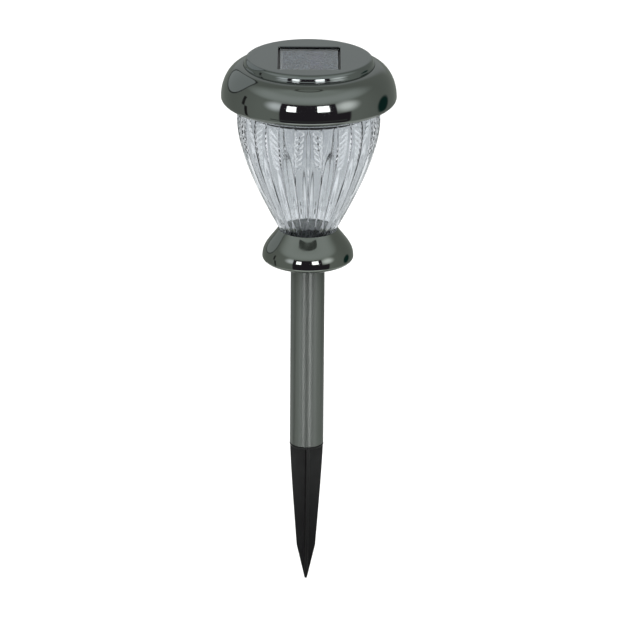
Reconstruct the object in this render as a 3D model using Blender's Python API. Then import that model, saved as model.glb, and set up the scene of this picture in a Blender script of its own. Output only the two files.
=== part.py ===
"""Solar garden light: ground stake, post, collar, cut lens, and a twist-off cap with its solar panel and lamp.

Metres, +Z up. The origin is on the post's axis at soil level, the underside of the stake's flange; the front
is towards -Y. Every piece is one closed solid in its own object. Pieces hang from an empty for each moving
group, and neighbours keep GAP between them.
"""

import math

import bmesh
import bpy
from mathutils import Matrix, Vector

GAP = 0.0003  # between neighbouring pieces
WALL = 0.0015  # plated shells

# Post and stake
POST_RADIUS = 0.0125
POST_WALL = 0.0010
POST_BOTTOM = 0.0020
POST_TOP = 0.1534
STAKE_FLANGE_RADIUS = 0.0126
STAKE_RIB_TOP = 0.0420
STAKE_SHOULDER_Z = -0.0825  # where the long taper turns into the point
STAKE_SHOULDER_HALF = 0.00695
STAKE_TIP_Z = -0.1095
STAKE_TIP_HALF = 0.0012
FIN_TOP_HALF = 0.0123
FIN_THICKNESS = 0.0022
FIN_TURN = math.radians(6.0)

# Head: adaptor, collar and lens
PLUG_RADIUS = POST_RADIUS - POST_WALL - 0.00035
ADAPTOR_BOTTOM = 0.1280
ADAPTOR_TOP = 0.1557
COLLAR_LIP_RADIUS = 0.0214
COLLAR_LIP_Z = 0.1709
COLLAR_RADIUS = 0.03344
COLLAR_WIDEST_Z = 0.1499
COLLAR_BOTTOM_Z = 0.1460
COLLAR_BOTTOM_RADIUS = 0.0265
COLLAR_FLOOR = (0.1560, 0.1580)
SCREW_HOLE = 0.0024
SCREW_RADIUS = 0.0020
LENS_RIM_Z = 0.2740
LENS_RIM_RADIUS = 0.0499
LENS_SHOULDER_Z = 0.2640
LENS_FOOT = (0.0204, 0.1700)
LENS_FLOOR = (0.1583, 0.1613)
FLUTES = 12
FLUTE_DEPTH = 0.0008

# Bayonet between the lens rim and the cap
LUGS = 3
LEDGE_RADIUS = 0.0453
NOTCH_RADIUS = 0.0479
NOTCH_HALF_ANGLE = math.radians(16.0)
LEDGE_Z = (0.2680, 0.2705)
LUG_RADIUS = 0.0474
LUG_HALF_ANGLE = math.radians(8.0)
LUG_Z = (0.2640, 0.2670)

# Cap
RING_CROWN = (0.04671, 0.27204)  # centre of the crown's ellipse
RING_CROWN_HALF = (0.01684, 0.02401)
RING_UNDER_RADIUS = 0.02153  # centre of the underside's flatter ellipse
RING_UNDER_DROP = 0.0102
RING_SEAT_RADIUS = 0.0477  # wall of the step that the plate drops into
RING_LIP_RADIUS = 0.0529
RING_LEDGE_Z = (0.2885, 0.2900)
RING_LEDGE_RADIUS = 0.0420
PLATE_TOP = 0.3015
PLATE_RADIUS = 0.0473
PLATE_EDGE = (0.0039, 0.0049)  # width and height of the rounded edge
WINDOW = (0.0450, 0.0546)
WINDOW_CENTRE = (0.0, -0.0029)

# Solar panel
TRAY = (0.0500, 0.0590)
TRAY_Z = (0.2948, 0.2989)
TRAY_FLOOR = 0.0012
PANEL = (0.0418, 0.0512)
BACKING_Z = (0.2963, 0.2981)
CELLS = 4
CELLS_CENTRE = (0.0005, -0.0040)
CELL_SIZE = (0.0095, 0.0470)
CELL_PITCH = 0.0098
CELL_Z = (0.2984, 0.2988)
COVER_Z = (0.2991, 0.3004)

# Module under the cap
HOUSING_RADIUS = 0.0445
HOUSING_INNER = 0.0429
HOUSING_Z = (0.2626, 0.2882)
FLANGE_Z = (0.2771, 0.2791)
FLANGE_RADIUS = 0.0508
TOP_FLANGE_RADIUS = 0.0465
GASKET_Z = (0.2743, 0.2768)
GASKET_RADII = (0.0452, 0.0499)
COVER_PLATE_Z = (0.2607, 0.2623)
COVER_RADIUS = 0.0443
POST_PLACE = 0.0396  # the three screw posts' distance from the axis
POST_ANGLES = [math.radians(a) for a in (90.0, 210.0, 330.0)]
BOARD_X = (-0.0200, 0.0200)
BOARD_Y = (-0.0290, 0.0060)
BOARD_Z = (0.2675, 0.2691)
BOARD_SCREWS = ((-0.0160, -0.0240), (0.0160, -0.0240))
LED_RADIUS = 0.0025
BATTERY_CENTRE = (-0.0030, 0.0180, 0.27025)
BATTERY_RADIUS = 0.00725
BATTERY_LENGTH = 0.0505
BAY_OPENING = ((-0.0295, 0.0095), (0.0225, 0.0265))
DOOR_HINGE = (-0.0317, 0.0180, 0.25965)
DOOR_SIZE = (0.0630, 0.0190, 0.0015)
DOOR_SCREW_X = 0.0275
SWITCH = (0.0, -0.0205)
SWITCH_TRAVEL = 0.0025


# ---------------------------------------------------------------- helpers

def material(name, colour, roughness, metallic=0.0, transmission=0.0):
    made = bpy.data.materials.new(name)
    made.use_nodes = True
    shader = made.node_tree.nodes["Principled BSDF"]
    shader.inputs["Base Color"].default_value = (*colour, 1.0)
    shader.inputs["Roughness"].default_value = roughness
    shader.inputs["Metallic"].default_value = metallic
    shader.inputs["Transmission Weight"].default_value = transmission
    made.diffuse_color = (*colour, 1.0)
    return made


def group(name, place=(0.0, 0.0, 0.0), parent=None):
    empty = bpy.data.objects.new(name, None)
    bpy.context.scene.collection.objects.link(empty)
    empty.location = Vector(place)
    if parent:
        empty.parent = parent
        empty.location = Vector(place) - world_place(parent)
    return empty


def world_place(thing):
    place = Vector((0.0, 0.0, 0.0))
    while thing:
        place += thing.location
        thing = thing.parent
    return place


def to_object(name, bm):
    bmesh.ops.recalc_face_normals(bm, faces=bm.faces)
    mesh = bpy.data.meshes.new(name)
    bm.to_mesh(mesh)
    bm.free()
    made = bpy.data.objects.new(name, mesh)
    bpy.context.scene.collection.objects.link(made)
    return made


def piece(name, bm, finish, parent):
    """A named sub-part; its mesh is in the coordinates of its parent empty."""
    made = to_object(name, bm)
    made.data.materials.append(finish)
    made.data.shade_smooth()
    made.data.set_sharp_from_angle(angle=math.radians(35.0))
    made.parent = parent
    return made


def boolean(target, bm, operation):
    """Cuts or joins a shape, in the target's own coordinates."""
    tool = to_object(f"{operation.lower()}_{target.name}", bm)
    tool.parent = target.parent
    tool.hide_render = True
    tool.display_type = "WIRE"
    change = target.modifiers.new(operation.title(), "BOOLEAN")
    change.operation = operation
    change.solver = "EXACT"
    change.object = tool


def arc(centre, half, start, end, steps):
    """Points of an ellipse arc in the (radius, height) plane, angles in degrees."""
    points = []
    for i in range(steps + 1):
        turn = math.radians(start + (end - start) * i / steps)
        points.append((centre[0] + half[0] * math.cos(turn), centre[1] + half[1] * math.sin(turn)))
    return points


def bezier(control, steps, start=0.0, end=1.0):
    """Points of a Bezier curve through any number of control points."""
    points = []
    for i in range(steps + 1):
        level = [Vector(p) for p in control]
        t = start + (end - start) * i / steps
        while len(level) > 1:
            level = [a.lerp(b, t) for a, b in zip(level, level[1:])]
        points.append(tuple(level[0]))
    return points


def turned(profile, steps=48, shape=None):
    """A closed outline of (radius, height) points turned about Z; shape may change a point's radius by angle."""
    bm = bmesh.new()
    rings = []
    for index, (radius, height) in enumerate(profile):
        if radius < 1e-7:
            rings.append([bm.verts.new((0.0, 0.0, height))])
            continue
        ring = []
        for step in range(steps):
            turn = 2.0 * math.pi * step / steps
            out = shape(index, radius, height, turn) if shape else radius
            ring.append(bm.verts.new((out * math.cos(turn), out * math.sin(turn), height)))
        rings.append(ring)
    for ring, after in zip(rings, rings[1:] + rings[:1]):
        if len(ring) == 1 and len(after) == 1:
            continue
        for step in range(steps):
            ahead = (step + 1) % steps
            corners = [ring[step % len(ring)], after[step % len(after)]]
            corners += [after[ahead % len(after)], ring[ahead % len(ring)]]
            bm.faces.new(list(dict.fromkeys(corners)))
    return bm


def rod(bm, radius, low, high, place=(0.0, 0.0), steps=20):
    middle = Matrix.Translation((place[0], place[1], (low + high) / 2.0))
    bmesh.ops.create_cone(bm, cap_ends=True, segments=steps, radius1=radius, radius2=radius,
                          depth=high - low, matrix=middle)


def block(bm, low, high):
    low, high = Vector(low), Vector(high)
    size = Matrix.Diagonal((*(high - low), 1.0))
    bmesh.ops.create_cube(bm, size=1.0, matrix=Matrix.Translation((low + high) / 2.0) @ size)


def prism(outline, low, high):
    """An outline of (x, y) points extruded from one height to another."""
    bm = bmesh.new()
    face = bm.faces.new([bm.verts.new((x, y, low)) for x, y in outline])
    raised = bmesh.ops.extrude_face_region(bm, geom=[face])["geom"]
    verts = [v for v in raised if isinstance(v, bmesh.types.BMVert)]
    bmesh.ops.translate(bm, verts=verts, vec=(0.0, 0.0, high - low))
    return bm


def rounded_slab(size, corner, low, high, centre=(0.0, 0.0), steps=3):
    """A plate with rounded corners."""
    outline = []
    for quarter, (side_x, side_y) in enumerate(((1, 1), (-1, 1), (-1, -1), (1, -1))):
        middle = (centre[0] + side_x * (size[0] / 2.0 - corner), centre[1] + side_y * (size[1] / 2.0 - corner))
        outline += arc(middle, (corner, corner), 90.0 * quarter, 90.0 * (quarter + 1), steps)
    return prism(outline, low, high)


def on_circle(radius, turn):
    return (radius * math.cos(turn), radius * math.sin(turn))


def near_lug(turn, half_angle):
    """True near one of the bayonet's places, the first of which is at the back."""
    spacing = 2.0 * math.pi / LUGS
    off = (turn - math.pi / 2.0 + spacing / 2.0) % spacing - spacing / 2.0
    return abs(off) <= half_angle


def wire(name, route, radius, finish, parent):
    """A round wire through hand-set points, as a smooth curve."""
    data = bpy.data.curves.new(name, "CURVE")
    data.dimensions = "3D"
    data.bevel_depth = radius
    data.bevel_resolution = 1
    data.use_fill_caps = True
    data.render_resolution_u = 0
    points = bezier(route, 9)
    spline = data.splines.new("POLY")
    spline.points.add(len(points) - 1)
    for point, place in zip(spline.points, points):
        point.co = (*place, 1.0)
    data.materials.append(finish)
    made = bpy.data.objects.new(name, data)
    bpy.context.scene.collection.objects.link(made)
    made.parent = parent
    return made


def screw_shape(head_radius, shank_radius, head_low, head_high, tip):
    """A pan-head screw that points up, with a crossed recess left out, turned as one outline."""
    edge = (head_high - head_low) * 0.4
    profile = [(0.0, head_low), (head_radius - edge, head_low), (head_radius, head_low + edge)]
    profile += [(head_radius, head_high), (shank_radius, head_high), (shank_radius, tip - shank_radius)]
    profile += [(0.0, tip)]
    return turned(profile, 12)


def placed(bm, x, y, z=0.0):
    bmesh.ops.translate(bm, verts=bm.verts, vec=(x, y, z))
    return bm


# ---------------------------------------------------------------- stake and post

def fin_outline():
    """Half of a fin's outline, (half width, height), from the rib in the post down to the tip."""
    rib = PLUG_RADIUS
    side = [(rib - 0.0015, STAKE_RIB_TOP), (rib, STAKE_RIB_TOP - 0.0030), (rib, 0.0010)]
    taper = [(FIN_TOP_HALF, 0.0010), (FIN_TOP_HALF - 0.0004, -0.0170), (STAKE_SHOULDER_HALF, STAKE_SHOULDER_Z)]
    side += bezier(taper, 8)
    side += [(STAKE_TIP_HALF, STAKE_TIP_Z)]
    return side


def fin(turn):
    side = fin_outline()
    outline = side + [(-half, height) for half, height in reversed(side)]
    bm = prism(outline, -FIN_THICKNESS / 2.0, FIN_THICKNESS / 2.0)
    stand = Matrix.Rotation(math.pi / 2.0, 4, "X")
    bmesh.ops.transform(bm, matrix=Matrix.Rotation(turn, 4, "Z") @ stand, verts=bm.verts)
    return bm


def stake(finish, parent):
    made = piece("stake", fin(FIN_TURN), finish, parent)
    boolean(made, fin(FIN_TURN + math.pi / 2.0), "UNION")
    flange = bmesh.new()
    rod(flange, STAKE_FLANGE_RADIUS, 0.0, POST_BOTTOM - GAP, steps=40)
    boolean(made, flange, "UNION")


def post(finish, parent):
    inner = POST_RADIUS - POST_WALL
    profile = [(POST_RADIUS, POST_TOP), (POST_RADIUS, POST_BOTTOM), (inner, POST_BOTTOM), (inner, POST_TOP)]
    piece("post_tube", turned(profile, 40), finish, parent)


# ---------------------------------------------------------------- head

def adaptor(finish, parent):
    """Plug in the post's top, with a flange on the tube's end and a blind screw boss."""
    under = POST_TOP + GAP
    wall = PLUG_RADIUS - 0.0018
    boss = 0.0050
    profile = [(0.0, ADAPTOR_BOTTOM + 0.0120), (SCREW_HOLE, ADAPTOR_BOTTOM + 0.0120), (SCREW_HOLE, ADAPTOR_TOP)]
    profile += [(POST_RADIUS, ADAPTOR_TOP), (POST_RADIUS, under), (PLUG_RADIUS, under)]
    profile += [(PLUG_RADIUS, ADAPTOR_BOTTOM + 0.0010), (PLUG_RADIUS - 0.0006, ADAPTOR_BOTTOM)]
    profile += [(wall, ADAPTOR_BOTTOM), (wall, under - 0.0020), (boss, under - 0.0020)]
    profile += [(boss, ADAPTOR_BOTTOM + 0.0090), (0.0, ADAPTOR_BOTTOM + 0.0090)]
    piece("tube_adaptor", turned(profile, 24), finish, parent)


def collar(finish, parent):
    """Bell with a rolled foot and a floor that carries the lens."""
    foot = (COLLAR_BOTTOM_RADIUS, COLLAR_WIDEST_Z)
    reach = (COLLAR_RADIUS - COLLAR_BOTTOM_RADIUS, COLLAR_WIDEST_Z - COLLAR_BOTTOM_Z)
    thin_reach = (reach[0] - WALL, reach[1] - WALL)
    outer = [(0.02155, COLLAR_LIP_Z), (0.02435, 0.1677), (0.0277, 0.1620)]
    outer += [(COLLAR_RADIUS, 0.1585), (COLLAR_RADIUS, COLLAR_WIDEST_Z)]
    inner_radius = COLLAR_RADIUS - WALL
    inner = [(inner_radius, COLLAR_WIDEST_Z), (inner_radius, 0.1579), (0.0269, 0.1613), (0.0237, 0.1664)]
    profile = [(COLLAR_LIP_RADIUS, COLLAR_LIP_Z)] + bezier(outer, 7)[1:]
    profile += arc(foot, reach, 0.0, -90.0, 4)[1:]
    profile += arc(foot, thin_reach, -90.0, 0.0, 2)[:-1]
    profile += bezier(inner, 2, 0.0, 0.28)
    profile += [(SCREW_HOLE, COLLAR_FLOOR[0]), (SCREW_HOLE, COLLAR_FLOOR[1])]
    profile += bezier(inner, 3, 0.42, 1.0)
    profile += [(COLLAR_LIP_RADIUS - 0.0006, COLLAR_LIP_Z - 0.0013)]
    piece("collar", turned(profile, 40), finish, parent)


def lens_outer(steps):
    control = [(LENS_RIM_RADIUS, LENS_SHOULDER_Z), (0.05521, 0.24167), (0.04309, 0.21241), LENS_FOOT]
    return bezier(control, steps)


def lens_inner(steps):
    control = [(0.0180, 0.1708), (0.0406, 0.21241), (0.0526, 0.24167), (0.0482, LENS_SHOULDER_Z)]
    return bezier(control, steps)


def lens(finish, parent):
    """Cut shade: flutes outside, and inside the rim a ledge with notches for the cap's lugs."""
    outside = [(LENS_RIM_RADIUS, LENS_RIM_Z)] + lens_outer(8)
    outside += bezier([LENS_FOOT, (0.0184, 0.1660), (0.0165, LENS_FLOOR[0])], 2)[1:]
    inside = [(SCREW_HOLE, LENS_FLOOR[0]), (SCREW_HOLE, LENS_FLOOR[1]), (0.0125, LENS_FLOOR[1]), (0.0162, 0.1654)]
    inside += lens_inner(6)
    first_ledge = len(outside) + len(inside)
    inside += [(0.0482, LEDGE_Z[0] - 0.0004), (LEDGE_RADIUS, LEDGE_Z[0]), (LEDGE_RADIUS, LEDGE_Z[1])]
    inside += [(0.0482, LEDGE_Z[1] + 0.0004), (0.0482, LENS_RIM_Z)]

    def cut(index, radius, height, turn):
        if index in (first_ledge + 1, first_ledge + 2) and near_lug(turn, NOTCH_HALF_ANGLE):
            return NOTCH_RADIUS
        if 1 < index < len(outside) - 1:
            groove = (0.5 - 0.5 * math.cos(FLUTES * (turn + math.pi / 2.0))) ** 2
            return radius - FLUTE_DEPTH * groove
        return radius

    piece("lens", turned(outside + inside, 48, cut), finish, parent)


def head_fasteners(steel, rubber, parent):
    """Screw and washer on the lens floor; the screw runs down into the adaptor."""
    low = LENS_FLOOR[1] + GAP
    washer = [(0.0060, low + 0.0007), (0.0060, low), (SCREW_HOLE, low), (SCREW_HOLE, low + 0.0007)]
    piece("lens_washer", turned(washer, 24), rubber, parent)
    seat = low + 0.0007 + GAP
    bm = screw_shape(0.0038, SCREW_RADIUS, 0.0, 0.0024, 0.0240)
    flip = Matrix.Translation((0.0, 0.0, seat + 0.0024)) @ Matrix.Rotation(math.pi, 4, "X")
    bmesh.ops.transform(bm, matrix=flip, verts=bm.verts)
    piece("centre_screw", bm, steel, parent)


# ---------------------------------------------------------------- cap shells and panel

def cap_ring(finish, parent):
    """Fat rolled ring: crown and underside are two ellipses that meet at the widest line."""
    centre_r, centre_z = RING_CROWN
    under = (RING_UNDER_RADIUS, centre_z)
    under_half = (centre_r + RING_CROWN_HALF[0] - RING_UNDER_RADIUS, RING_UNDER_DROP)
    seat_angle = math.degrees(math.acos((RING_SEAT_RADIUS - centre_r) / RING_CROWN_HALF[0]))
    lip_angle = -math.degrees(math.acos((RING_LIP_RADIUS - RING_UNDER_RADIUS) / under_half[0]))
    thin = (under_half[0] - WALL, under_half[1] - WALL)
    thin_angle = -math.degrees(math.acos((RING_LIP_RADIUS - RING_UNDER_RADIUS) / thin[0]))
    crown_thin = (RING_CROWN_HALF[0] - WALL, RING_CROWN_HALF[1] - WALL)
    profile = [(RING_LEDGE_RADIUS, RING_LEDGE_Z[1]), (RING_SEAT_RADIUS, RING_LEDGE_Z[1])]
    profile += arc(RING_CROWN, RING_CROWN_HALF, seat_angle, 0.0, 7)
    profile += arc(under, under_half, 0.0, lip_angle, 3)[1:]
    profile += [(RING_LIP_RADIUS - 0.0005, RING_CROWN[1] - 0.0059)]
    profile += arc(under, thin, thin_angle, 0.0, 2)
    profile += arc(RING_CROWN, crown_thin, 0.0, 80.0, 4)[1:]
    profile += [(centre_r + crown_thin[0] * math.cos(math.radians(80.0)), RING_LEDGE_Z[0])]
    profile += [(RING_LEDGE_RADIUS, RING_LEDGE_Z[0])]
    piece("cap_ring", turned(profile, 48), finish, parent)


def top_plate(finish, parent):
    """Raised plate that drops into the ring, with the panel window."""
    edge = (PLATE_RADIUS - PLATE_EDGE[0], PLATE_TOP - PLATE_EDGE[1])
    thin_edge = (PLATE_EDGE[0] - WALL, PLATE_EDGE[1] - WALL)
    inner = PLATE_RADIUS - WALL
    under = PLATE_TOP - WALL
    foot = RING_LEDGE_Z[1] + GAP
    profile = [(0.0, PLATE_TOP)] + arc(edge, PLATE_EDGE, 90.0, 0.0, 6)
    profile += [(PLATE_RADIUS, foot), (inner, foot)] + arc(edge, thin_edge, 0.0, 90.0, 4)
    profile += [(0.0, under)]
    made = piece("top_plate", turned(profile, 48), finish, parent)
    window = rounded_slab(WINDOW, 0.0020, under - 0.0020, PLATE_TOP + 0.0020, WINDOW_CENTRE)
    boolean(made, window, "DIFFERENCE")


def panel(finishes, parent):
    """Tray under the window, with backing, cell strips and clear cover stacked in it."""
    shell = rounded_slab(TRAY, 0.0030, *TRAY_Z, WINDOW_CENTRE)
    tray = piece("panel_frame", shell, finishes["black"], parent)
    pocket = (PANEL[0] + 0.0008, PANEL[1] + 0.0008)
    room = rounded_slab(pocket, 0.0008, TRAY_Z[0] + TRAY_FLOOR, TRAY_Z[1] + 0.0020, WINDOW_CENTRE)
    boolean(tray, room, "DIFFERENCE")
    holes = bmesh.new()
    for side in (-1, 1):
        rod(holes, 0.0014, TRAY_Z[0] - 0.0010, TRAY_Z[0] + TRAY_FLOOR + 0.0010, (side * 0.0060, 0.0), 12)
    boolean(tray, holes, "DIFFERENCE")
    piece("panel_backing", rounded_slab(PANEL, 0.0005, *BACKING_Z, WINDOW_CENTRE), finishes["board"], parent)
    for index in range(CELLS):
        place = (CELLS_CENTRE[0] + (index - (CELLS - 1) / 2.0) * CELL_PITCH, CELLS_CENTRE[1])
        strip = rounded_slab(CELL_SIZE, 0.0004, *CELL_Z, place, 1)
        piece(f"panel_cell_{index + 1}", strip, finishes["cell"], parent)
    piece("panel_cover", rounded_slab(PANEL, 0.0005, *COVER_Z, WINDOW_CENTRE), finishes["clear"], parent)


# ---------------------------------------------------------------- module

def housing(finish, parent):
    """Wall with a seat flange, a top flange, three lugs and three screw posts."""
    low, high = HOUSING_Z
    profile = [(HOUSING_RADIUS, low), (HOUSING_RADIUS, LUG_Z[0] - 0.0004), (HOUSING_RADIUS, LUG_Z[0])]
    profile += [(HOUSING_RADIUS, LUG_Z[1]), (HOUSING_RADIUS, LUG_Z[1] + 0.0004)]
    profile += [(HOUSING_RADIUS, FLANGE_Z[0]), (FLANGE_RADIUS, FLANGE_Z[0]), (FLANGE_RADIUS, FLANGE_Z[1])]
    profile += [(HOUSING_RADIUS, FLANGE_Z[1]), (HOUSING_RADIUS, high - 0.0015)]
    profile += [(TOP_FLANGE_RADIUS, high - 0.0015), (TOP_FLANGE_RADIUS, high)]
    profile += [(HOUSING_INNER, high), (HOUSING_INNER, low)]

    def lugs(index, radius, height, turn):
        return LUG_RADIUS if index in (2, 3) and near_lug(turn, LUG_HALF_ANGLE) else radius

    made = piece("module_housing", turned(profile, 48, lugs), finish, parent)
    posts = bmesh.new()
    holes = bmesh.new()
    for turn in POST_ANGLES:
        rod(posts, 0.0037, low + 0.0021, high - 0.0040, on_circle(POST_PLACE, turn), 16)
        rod(holes, 0.0014, low - 0.0010, low + 0.0130, on_circle(POST_PLACE, turn), 12)
    boolean(made, posts, "UNION")
    boolean(made, holes, "DIFFERENCE")


def module_cover(finishes, parent):
    """Bottom plate with its spigot, holes, board bosses and battery end walls."""
    low, high = COVER_PLATE_Z
    spigot = HOUSING_INNER - 0.0004
    profile = [(0.0, high), (spigot - 0.0012, high), (spigot - 0.0012, high + 0.0015), (spigot, high + 0.0015)]
    profile += [(spigot, high), (COVER_RADIUS, high), (COVER_RADIUS, low), (0.0, low)]
    made = piece("module_cover", turned(profile, 40), finishes["black"], parent)
    (west, south), (east, north) = BAY_OPENING
    added = bmesh.new()
    inside = high - 0.0005
    for x, y in BOARD_SCREWS:
        rod(added, 0.0027, inside, BOARD_Z[0] - GAP, (x, y), 14)
    rod(added, 0.0028, inside, inside + 0.0060, (DOOR_SCREW_X, BATTERY_CENTRE[1]), 14)
    for start in (-0.0334, 0.0234):
        block(added, (start, south + 0.0020, inside), (start + 0.0012, north - 0.0020, inside + 0.0130))
    boolean(made, added, "UNION")
    holes = bmesh.new()
    rod(holes, LED_RADIUS + 0.0007, low - 0.0010, high + 0.0010, steps=20)
    block(holes, (west, south, low - 0.0010), (east, north, high + 0.0010))
    block(holes, (-0.0032, SWITCH[1] - 0.0013, low - 0.0010), (0.0032, SWITCH[1] + 0.0013, high + 0.0010))
    rod(holes, 0.0011, low - 0.0010, low + 0.0055, (DOOR_SCREW_X, BATTERY_CENTRE[1]), 12)
    for x, y in BOARD_SCREWS:
        rod(holes, 0.0011, high + 0.0006, BOARD_Z[0] + 0.0010, (x, y), 12)
    for turn in POST_ANGLES:
        rod(holes, 0.0015, low - 0.0010, high + 0.0040, on_circle(POST_PLACE, turn), 12)
    boolean(made, holes, "DIFFERENCE")
    for index, turn in enumerate(POST_ANGLES):
        screw = screw_shape(0.0026, 0.0010, low - GAP - 0.0014, low - GAP, low + 0.0115)
        place = on_circle(POST_PLACE, turn)
        piece(f"cover_screw_{index + 1}", placed(screw, *place), finishes["steel"], parent)


def circuit(finishes, parent):
    """Board with driver chip and inductor on top, lamp and switch below."""
    bm = bmesh.new()
    block(bm, (BOARD_X[0], BOARD_Y[0], BOARD_Z[0]), (BOARD_X[1], BOARD_Y[1], BOARD_Z[1]))
    board = piece("circuit_board", bm, finishes["board"], parent)
    holes = bmesh.new()
    for x, y in BOARD_SCREWS:
        rod(holes, 0.0012, BOARD_Z[0] - 0.0010, BOARD_Z[1] + 0.0010, (x, y), 12)
    boolean(board, holes, "DIFFERENCE")
    top = BOARD_Z[1] + GAP
    for index, (x, y) in enumerate(BOARD_SCREWS):
        screw = screw_shape(0.0021, 0.0008, 0.0, 0.0012, 0.0052)
        flip = Matrix.Translation((x, y, top + 0.0012)) @ Matrix.Rotation(math.pi, 4, "X")
        bmesh.ops.transform(screw, matrix=flip, verts=screw.verts)
        piece(f"board_screw_{index + 1}", screw, finishes["steel"], parent)
    chip = bmesh.new()
    block(chip, (-0.0115, -0.0140, top), (-0.0065, -0.0100, top + 0.0015))
    piece("driver_chip", chip, finishes["black"], parent)
    spool = [(0.0, top), (0.0035, top), (0.0035, top + 0.0010), (0.0028, top + 0.0013)]
    spool += [(0.0028, top + 0.0047), (0.0035, top + 0.0050), (0.0035, top + 0.0060), (0.0, top + 0.0060)]
    piece("inductor", placed(turned(spool, 20), 0.0100, -0.0120), finishes["copper"], parent)
    base = BOARD_Z[0] - GAP
    dome = COVER_PLATE_Z[0] - 0.0020
    lamp = [(0.0, base), (LED_RADIUS, base), (LED_RADIUS + 0.0004, base - 0.0004)]
    lamp += [(LED_RADIUS + 0.0004, base - 0.0014), (LED_RADIUS, base - 0.0014)]
    lamp += arc((0.0, dome), (LED_RADIUS, LED_RADIUS), 0.0, -90.0, 5)[:-1] + [(0.0, dome - LED_RADIUS)]
    piece("led", turned(lamp, 20), finishes["clear"], parent)
    rim = COVER_PLATE_Z[0] - GAP
    dish = [(0.0034, rim), (0.0050, rim - 0.0010), (0.0080, rim - 0.0036), (0.0080, rim - 0.0028)]
    dish += [(0.0056, rim - 0.0004), (0.0046, rim)]
    piece("led_reflector", turned(dish, 24), finishes["chrome"], parent)


def switch(finishes, cap, slider_group):
    """Slide switch under the board; the knob sits in a slot in its body and through the cover."""
    x, y = SWITCH
    high = BOARD_Z[0] - GAP
    low = high - 0.0036
    body = bmesh.new()
    block(body, (x - 0.0045, y - 0.0025, low), (x + 0.0045, y + 0.0025, high))
    made = piece("switch_body", body, finishes["steel"], cap)
    slot = bmesh.new()
    block(slot, (x - 0.0028, y - 0.0012, low - 0.0010), (x + 0.0028, y + 0.0012, low + 0.0024))
    boolean(made, slot, "DIFFERENCE")
    knob = bmesh.new()
    block(knob, (-0.0011, -0.0008, -0.0030), (0.0011, 0.0008, 0.0030))
    bmesh.ops.bevel(knob, geom=knob.edges, offset=0.0002, segments=1, affect="EDGES")
    piece("switch_slider", knob, finishes["black"], slider_group)


def battery(finishes, parent):
    """AA cell lying along X, with a coil contact at its flat end and a plate at its nipple."""
    lie = Matrix.Translation(BATTERY_CENTRE) @ Matrix.Rotation(math.pi / 2.0, 4, "Y")
    half = BATTERY_LENGTH / 2.0
    shoulder = half - 0.0010
    cell = [(0.0, half), (0.0026, half), (0.0026, shoulder), (BATTERY_RADIUS - 0.0006, shoulder)]
    cell += [(BATTERY_RADIUS, shoulder - 0.0006), (BATTERY_RADIUS, -half + 0.0005)]
    cell += [(BATTERY_RADIUS - 0.0005, -half), (0.0, -half)]
    bm = turned(cell, 24)
    bmesh.ops.transform(bm, matrix=lie, verts=bm.verts)
    piece("battery", bm, finishes["wrap"], parent)
    plate = bmesh.new()
    east = BATTERY_CENTRE[0] + half + GAP
    y = BATTERY_CENTRE[1]
    block(plate, (east, y - 0.0040, 0.2650), (east + 0.0005, y + 0.0040, 0.2745))
    piece("battery_contact_plate", plate, finishes["steel"], parent)
    turns = 2.5
    steps = 22
    coil = bpy.data.curves.new("battery_spring", "CURVE")
    coil.dimensions = "3D"
    coil.bevel_depth = 0.00035
    coil.bevel_resolution = 1
    coil.use_fill_caps = True
    coil.render_resolution_u = 0
    spline = coil.splines.new("POLY")
    spline.points.add(steps)
    west = BATTERY_CENTRE[0] - half - GAP - 0.0004
    for index, point in enumerate(spline.points):
        share = index / steps
        turn = 2.0 * math.pi * turns * share
        radius = 0.0022 + 0.0020 * share
        place = (west - 0.0026 * share, y + radius * math.cos(turn), BATTERY_CENTRE[2] + radius * math.sin(turn))
        point.co = (*place, 1.0)
    coil.materials.append(finishes["steel"])
    made = bpy.data.objects.new("battery_spring", coil)
    bpy.context.scene.collection.objects.link(made)
    made.parent = parent


def battery_door(finishes, hinge):
    """Lid under the cover, in its hinge's coordinates; its screw stays in it."""
    length, width, thick = DOOR_SIZE
    bm = rounded_slab((length, width), 0.0015, -thick / 2.0, thick / 2.0, (length / 2.0 - 0.0005, 0.0))
    made = piece("battery_door", bm, finishes["black"], hinge)
    hole = bmesh.new()
    x = DOOR_SCREW_X - DOOR_HINGE[0]
    rod(hole, 0.0013, -0.0030, 0.0030, (x, 0.0), 12)
    boolean(made, hole, "DIFFERENCE")
    low = -thick / 2.0 - GAP
    screw = screw_shape(0.0023, 0.0008, low - 0.0012, low, 0.0050)
    piece("battery_door_screw", placed(screw, x, 0.0), finishes["steel"], hinge)


def wires(finishes, parent):
    """Panel wires down through the tray, and battery wires from the contacts to the board."""
    top = BACKING_Z[0] - 0.0004
    board = BOARD_Z[1] + 0.0004
    for side, name in ((-1, "red"), (1, "black")):
        x = side * 0.0060
        drop = [(x, 0.0, top), (x, 0.0, top - 0.0100), (x * 1.6, -0.0040, board + 0.0120), (x * 1.4, -0.0030, board)]
        wire(f"panel_wire_{name}", drop, 0.0006, finishes[name], parent)
    red = [(0.0256, 0.0180, 0.2765), (0.0290, 0.0140, 0.2810), (0.0190, 0.0020, 0.2800), (0.0170, 0.0020, board)]
    black = [(-0.0315, 0.0103, 0.2690), (-0.0320, 0.0060, 0.2780), (-0.0180, 0.0000, 0.2790), (-0.0170, 0.0020, board)]
    wire("battery_wire_red", red, 0.0006, finishes["red"], parent)
    wire("battery_wire_black", black, 0.0006, finishes["black"], parent)


def gasket(finish, parent):
    inner, outer = GASKET_RADII
    low, high = GASKET_Z
    middle = ((inner + outer) / 2.0, (low + high) / 2.0)
    profile = arc(middle, ((outer - inner) / 2.0, (high - low) / 2.0), 90.0, -270.0, 6)[:-1]
    piece("lens_gasket", turned(profile, 40), finish, parent)


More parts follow.
